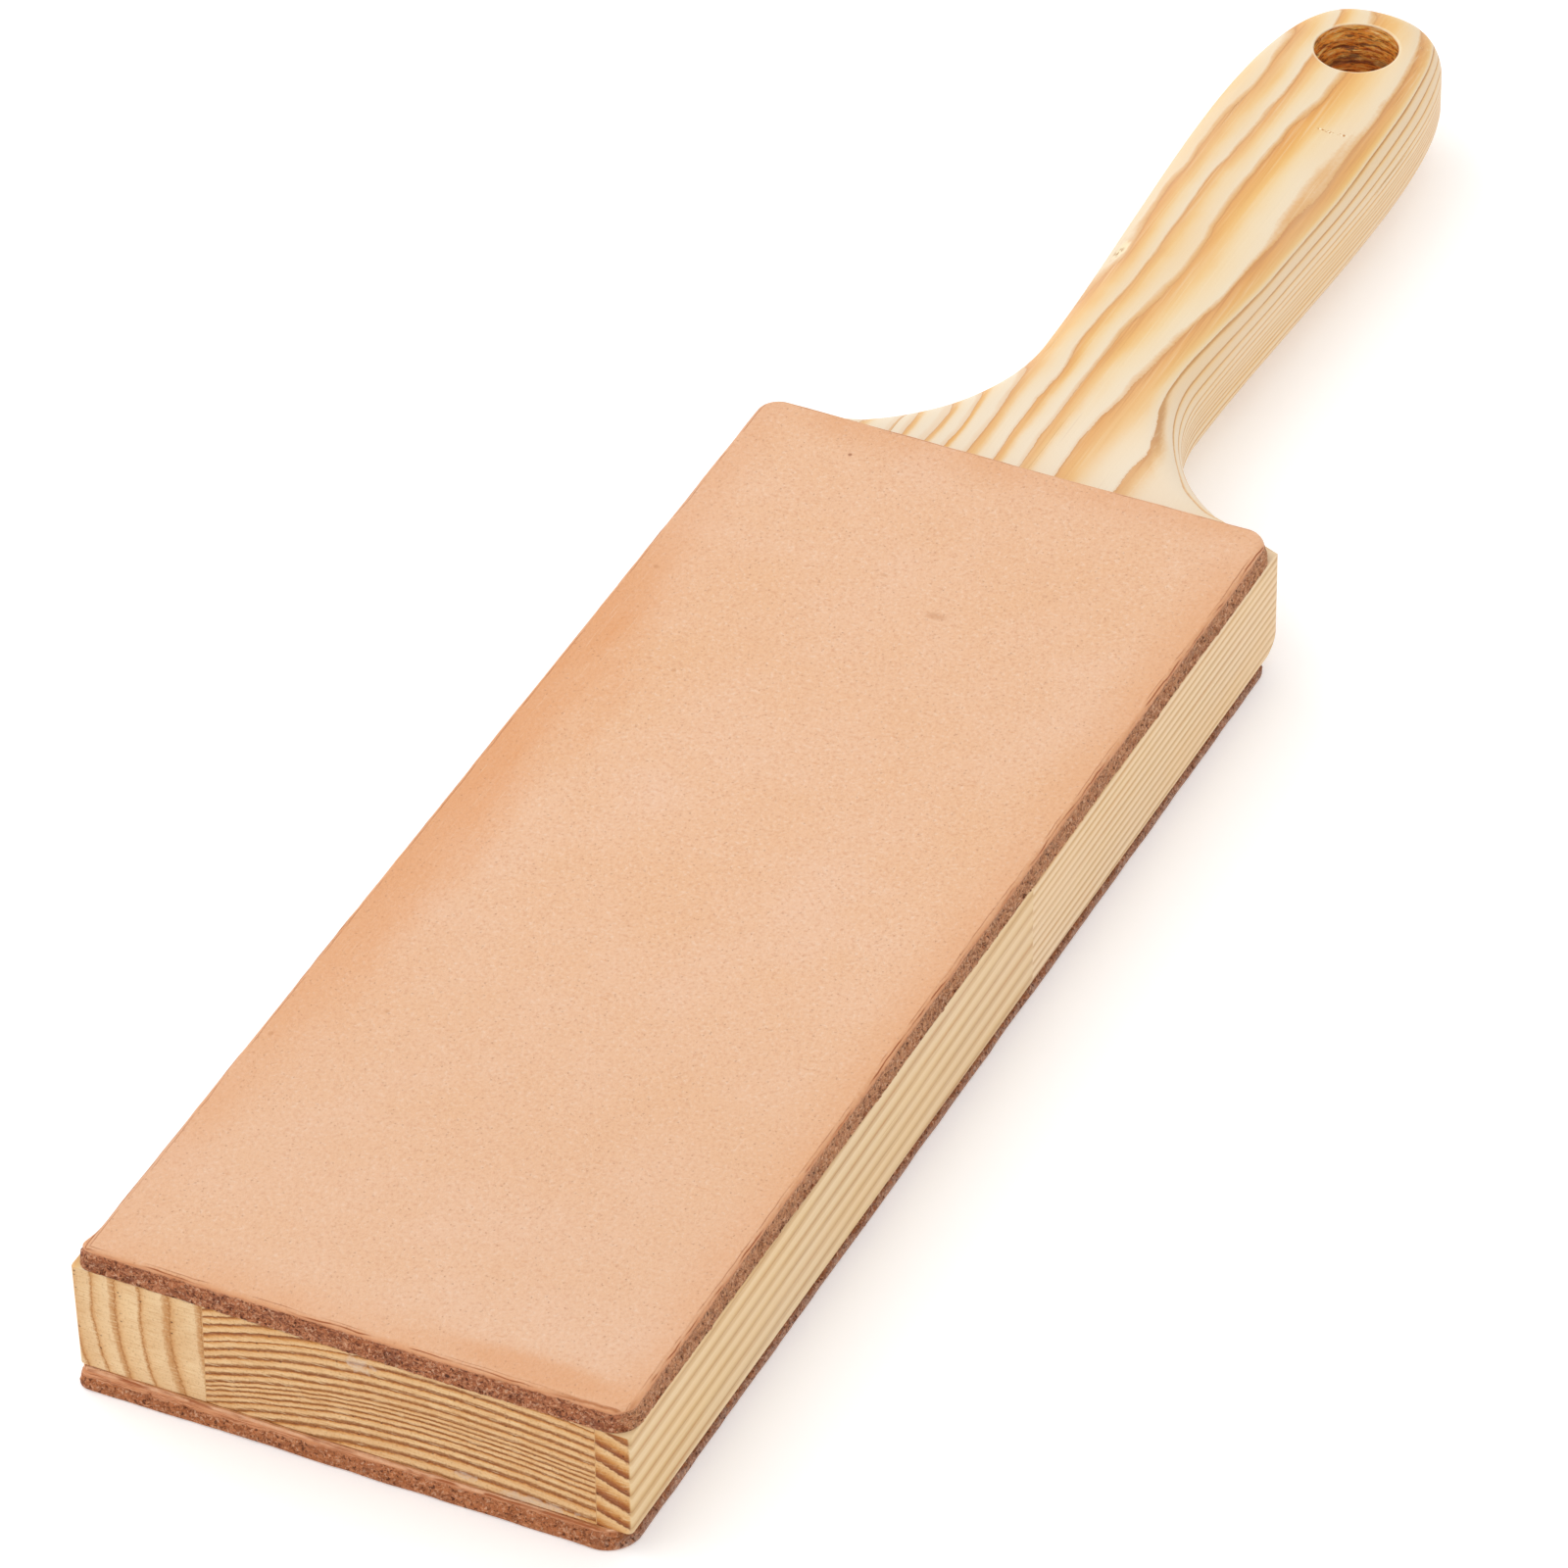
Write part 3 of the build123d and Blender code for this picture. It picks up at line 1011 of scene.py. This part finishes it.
def grain_side(s, pebble, pores, rim, left, outer):
    """The smooth side. rim is the distance to its edge, and left that edge's x."""
    grain = s.over(
        s.mix(s.noise((26, 40, 26), shift=4.2), tone(238, 187, 145), tone(242, 197, 164)),
        (s.noise(8, 0, 0.5, detail=3), 237, 184, 138),
        (s.span(pebble, 0.5, 1.0, 0, 0.6), 218, 158, 120),
        (s.span(pebble, 0.0, 0.45, 0.55, 0), 249, 216, 190),
        (s.times(s.dots((3.4, 0.9, 3.4), 0.24, 0.07), 0.32), 216, 146, 94),
        (s.span(s.y, 110, 20, 0, 0.22), 224, 181, 150),
        (s.times(pores, 0.32), 204, 140, 100),
    )
    if outer == "top":
        rubbed = s.times(s.span(s.y, 20, 100), s.span(s.y, 178, 138), 0.7,
                         s.span(s.plus(s.x, s.noise((6, 18, 5), -3.5, 3.5)), left + 16, left - 1))
        scuffs = s.noise((0.3, 9, 1), 0.8, 1.15, detail=3)
        scratches = s.span(s.noise((0.22, 7, 1), detail=1, shift=2.0), 0.82, 0.96)
        grain = s.over(
            grain,
            (s.times(rubbed, scuffs), 229, 154, 92),
            (s.times(rubbed, scratches, 0.6), 250, 218, 186),
            (s.times(s.span(rim, 9.0, 0.5), s.noise((12, 25, 12), 0.15, 0.7)), 230, 166, 116),
        )
    edge = s.span(s.plus(rim, s.noise(1.2, -0.2, 0.2)), 1.2, 0.2)
    grain = s.over(grain, (s.times(edge, 0.6), 220, 150, 98))
    for inset, strength in ((crease_inset, 1.0), (crease_inset + 0.42, 0.55)):
        line = s.span(s.size(s.plus(rim, -inset, s.noise(5, -0.14, 0.14))), 0.11, 0.03)
        broken = s.span(s.noise((7, 7, 7), shift=inset), 0.3, 0.7)
        grain = s.over(grain, (s.times(line, broken, strength), 166, 90, 42))
    pinched = s.size(s.plus(rim, -crease_inset - 0.25, s.noise(3.0, -0.2, 0.2)))
    pinched = s.times(s.span(pinched, 0.32, 0.05), s.spot(34, 0, 9, 5))
    grain = s.over(grain, (s.times(pinched, 0.8), 178, 104, 50))
    return s.over(grain, *[(s.times(s.spot(*oval), strength), *colour)
                           for *oval, strength, colour in leather_marks])


def cut_fibres(s, tangle, specks, depth, outer):
    """The brown fibres of a cut edge, lighter on walls that face right; on the lower pad's
    right-facing walls, a painted shadow just under the wood over painted highlight on the fibres
    lower down.
    """
    fibre = s.over(
        s.ramp(tangle, stops((0.0, 72, 28, 10), (0.25, 130, 64, 30), (0.5, 180, 102, 58),
                             (0.75, 208, 138, 94), (1.0, 234, 184, 148))),
        (s.span(s.noise((4, 4, 1.6), detail=3), 0.5, 0.95, 0, 0.5), 108, 46, 26),
        (s.noise((6, 6, 1.0), 0, 0.22, shift=8.0), 206, 150, 120),
    )
    rightward = s.times(s.span(s.facing[0], 0.4, 0.9), s.noise(0.8, 0.3, 1.0, detail=3))
    if outer == "bottom":
        # Lower pad, right-facing walls: painted shadow just under the wood, fading to a painted
        # highlight on greyish fibres lower down
        shadow_to_highlight = s.span(s.plus(depth, s.noise(1.0, -0.6, 0.6)), 1.3, 2.7)
        fibre = s.mix(rightward, s.over(fibre, (0.35, 206, 128, 74)),
                      s.mix(shadow_to_highlight, tone(124, 68, 26), tone(188, 156, 138)))
    else:
        fibre = s.over(fibre, (s.times(rightward, 0.45), 216, 170, 124))
    return s.over(fibre, (s.span(specks, 0.62, 0.85, 0, 0.85), 76, 34, 14),
                  (s.span(specks, 0.36, 0.15, 0, 0.65), 233, 186, 152))


def leather(name, node, outer):
    """Leather: smooth above, brown fibres at its cut edge, and a nap under the lower pad."""
    low, high = box_mm(node)
    s = Shader(name, Specular_IOR_Level=0.35)
    sides = (s.x, low[0], high[0]), (s.y, low[1] - front_y, high[1] - front_y)
    rim = s.math("MINIMUM", *[s.math("MINIMUM", s.minus(at, start), s.minus(end, at))
                              for at, start, end in sides])
    depth = s.minus(high[2], s.z)
    pebble = s.noise(0.55, detail=3, coarse=0.6)
    pores = s.dots((0.75, 0.75, 0.75), 0.2, 0.45)
    tangle = s.noise((0.9, 0.9, 0.55), detail=4, coarse=0.62, swirl=1.2)
    specks = s.noise(0.4, shift=7.0, swirl=0.8)
    layer = s.mix(s.noise((4, 4, 0.25)), tone(206, 132, 82), tone(222, 160, 118))
    if outer == "top":
        cut = s.span(s.plus(depth, s.noise(0.9, -0.12, 0.12)), 0.5, 0.8)
    else:
        strata = s.noise((3.5, 3.5, 0.13), detail=3, shift=1.0)
        layer = s.over(layer, (s.span(strata, 0.45, 0.75, 0, 0.8), 166, 92, 46))
        cut = s.plus(depth, s.noise((2, 2, 0.9), -0.25, 0.25), s.span(s.x, -30, 15, -0.7, 0))
        cut = s.span(cut, 0.4, 0.75)
    colour = s.mix(s.span(depth, 0.28, 0.5), grain_side(s, pebble, pores, rim, low[0], outer),
                   s.mix(cut, layer, cut_fibres(s, tangle, specks, depth, outer)))
    if outer == "bottom":
        nap = s.mix(s.noise(1.6, detail=3), tone(176, 122, 88), tone(204, 152, 114))
        nap = s.over(nap, (s.noise(14, 0, 0.5), 166, 110, 76),
                     (s.span(specks, 0.6, 0.95, 0, 0.35), 130, 82, 54))
        colour = s.mix(s.span(s.facing[2], -0.6, -0.9), colour, nap)
    height = s.plus(s.times(pebble, 0.9), s.times(pores, -0.6), s.times(tangle, cut, 2.0))
    roughness = s.plus(s.noise(2.0, 0.42, 0.52), s.times(cut, 0.35))
    return s.finish(colour, roughness, height, 0.12)


wood_materials = {
    "left_stave": pine("left_pine", left_growth, broad_face, pale_end, late=2.0, contrast=0.8),
    "centre_stave": pine("centre_pine", centre_growth, broad_face, lined_end, broadest=13),
    "right_stave_front": pine("right_front_pine", right_front_growth, side_face, dark_end,
                              late=1.1, face_late=1.0),
    "right_stave_rear": pine("right_rear_pine", right_rear_growth, rear_face, dark_end,
                             late=1.3, face_late=0.4, contrast=1.2),
}
wood_glue = glue_material("wood_glue", (222, 176, 118), (182, 126, 70))
adhesive = glue_material("contact_adhesive", (208, 146, 94), (164, 102, 56))


# ---- Pieces ----


def declare(piece, node, material):
    piece.data.materials.append(material)
    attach(piece, "root")
    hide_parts(node)


left_cut = [corner[0] for corner in box_mm("left_glue_line")]
right_cut = [corner[0] for corner in box_mm("right_glue_line")]
wood_spans = {
    "left_stave": (board_left - 1, left_cut[0]),
    "left_glue_line": left_cut,
    "centre_stave": (left_cut[1], right_cut[0]),
    "right_glue_line": right_cut,
    "right_stave_front": (right_cut[1], board_right + 1, -1.0, end_joint_y),
    "right_stave_rear": (right_cut[1], board_right + 1, end_joint_y),
}
for node, span in wood_spans.items():
    piece = stave(node + "_wood" if "glue" not in node else node + "_seam", *span)
    declare(piece, node, wood_materials.get(node, wood_glue))

upper_pad = pad("upper_pad", "top_leather", [3.4, 4.0, 3.5, 2.0], "top", 0.5, 0.8, 101)
lower_pad = pad("lower_pad", "bottom_leather", [4.6, 4.0, 4.0, 1.8], "bottom", 0.7, 0.7, 202)
declare(upper_pad, "top_leather", leather("grain_leather", "top_leather", "top"))
declare(lower_pad, "bottom_leather", leather("suede_leather", "bottom_leather", "bottom"))
upper_film = film("upper_film", "top_adhesive_film", 0.2, 303)
lower_film = film("lower_film", "bottom_adhesive_film", 0.4, 404)
declare(upper_film, "top_adhesive_film", adhesive)
declare(lower_film, "bottom_adhesive_film", adhesive)


# ---- Floor, light and camera ----

def floor():
    mesh = bpy.data.meshes.new("floor")
    reach = 3.0
    mesh.from_pydata([(-reach, -reach, 0), (reach, -reach, 0), (reach, reach, 0),
                      (-reach, reach, 0)], [], [(0, 1, 2, 3)])
    mesh.materials.append(Shader("floor_white", Base_Color=(0.92, 0.92, 0.92, 1), Roughness=0.9,
                                 Emission_Color=(1, 1, 1, 1), Emission_Strength=0.22).material)
    placed("floor", mesh)


def soft_light():
    world = bpy.data.worlds.new("studio")
    bpy.context.scene.world = world
    world.use_nodes = True
    background = world.node_tree.nodes["Background"]
    background.inputs["Color"].default_value = (1, 1, 1, 1)
    background.inputs["Strength"].default_value = 0.93
    for name, place, size, energy in (
        ("key", (-0.7, -0.5, 1.4), 1.2, 4.0), ("rim", (-1.3, 0.6, 0.9), 1.2, 5.0)
    ):
        lamp = bpy.data.lights.new(name, "AREA")
        lamp.shape = "DISK"
        lamp.size = size
        lamp.energy = energy
        made = placed(name, lamp)
        made.location = place
        made.rotation_euler = (-Vector(place)).to_track_quat("-Z", "Y").to_euler()


def camera():
    azimuth, elevation, roll = (math.radians(angle) for angle in (25.68, 38.05, -0.47))
    aim = Vector((-0.0046, -0.0281, 0.0107))
    distance = 1.4777
    back = Vector((math.sin(azimuth) * math.cos(elevation),
                   -math.cos(azimuth) * math.cos(elevation), math.sin(elevation)))
    data = bpy.data.cameras.new("camera")
    data.sensor_width = 36.0
    data.lens = 259.8
    made = placed("camera", data)
    turn = (-back).to_track_quat("-Z", "Y").to_matrix().to_4x4()
    made.matrix_world = Matrix.Translation(aim + back * distance) @ turn @ Matrix.Rotation(
        roll, 4, "Z")
    bpy.context.scene.camera = made


floor()
soft_light()
camera()
bpy.context.scene.view_settings.view_transform = "Standard"
